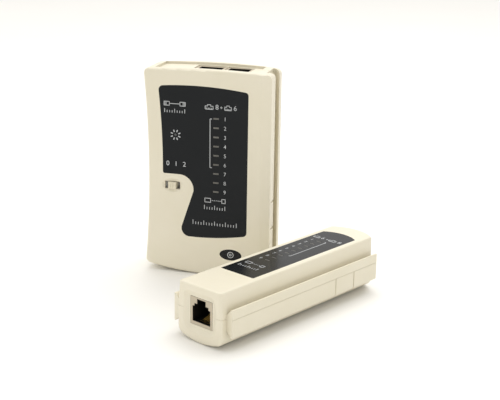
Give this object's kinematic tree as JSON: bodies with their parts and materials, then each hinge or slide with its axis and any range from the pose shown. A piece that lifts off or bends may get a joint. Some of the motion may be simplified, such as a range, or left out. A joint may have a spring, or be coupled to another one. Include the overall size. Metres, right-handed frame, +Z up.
{
  "type": "network cable tester",
  "caption": "Network cable tester: an upright main unit with a dark label, lamp column and slide switch, and a separate remote unit with dovetail rails and modular jack sockets.",
  "frame": {"origin": "centre of the base of the box round both units, on the surface they rest on", "axes": "+Z up, +Y from the main unit's front face to its back, +X to the right as the label is read"},
  "size_m": [0.1184, 0.1136, 0.1051],
  "materials": {
    "shell": "satin moulded ABS, ivory",
    "label": "matt printed film",
    "badge": "gloss black sticker",
    "board": "green solder mask",
    "lamp": "diffused lamp lens",
    "lamp_power": "diffused lamp lens",
    "chip": "black moulded package",
    "resistor": "tan lacquer",
    "diode": "amber glass body, kept as plain plastic",
    "steel": "zinc plated",
    "knob": "satin moulded plastic, ivory",
    "jack": "grey-beige moulded plastic",
    "gold": "gold plated",
    "battery_case": "printed steel jacket",
    "connector": "soft black moulding",
    "lead_red": "insulation",
    "lead_black": "insulation"
  },
  "bodies": {
    "main_unit": {"master_front_shell": "shell", "master_rear_shell": "shell", "master_label": "label", "master_badge": "badge", "master_board": "board", "master_leds": "lamp", "power_led": "lamp_power", "master_chips": "chip", "master_resistors": "resistor", "switch_housing": "steel", "master_rj45_jack": "jack", "master_rj45_contacts": "gold", "master_rj11_jack": "jack", "master_rj11_contacts": "gold", "battery": "battery_case", "battery_studs": "steel", "battery_connector": "connector", "lead_positive": "lead_red", "lead_negative": "lead_black", "master_screws": "steel"},
    "switch_knob": {"switch_knob": "knob"},
    "battery_door": {"battery_door": "shell"},
    "remote_unit": {"remote_front_shell": "shell", "remote_rear_shell": "shell", "remote_label": "label", "remote_board": "board", "remote_leds": "lamp", "remote_diodes": "diode", "remote_rj11_jack": "jack", "remote_rj11_contacts": "gold", "remote_rj45_jack": "jack", "remote_rj45_contacts": "gold", "remote_screws": "steel"}
  },
  "joints": [
    {"name": "power_switch", "type": "slide", "parent": "main_unit", "child": "switch_knob", "axis": [1, 0, 0], "range_m": [-0.0019, 0.0019]},
    {"name": "door_swing", "type": "hinge", "parent": "main_unit", "child": "battery_door", "pos_m": [-0.02836, 0.05692, 0.008], "axis": [-1, 0, 0], "range_deg": [0, 75]},
    {"name": "remote_lift", "type": "slide", "parent": "main_unit", "child": "remote_unit", "axis": [0, 0, 1], "range_m": [0, 0.12]}
  ]
}
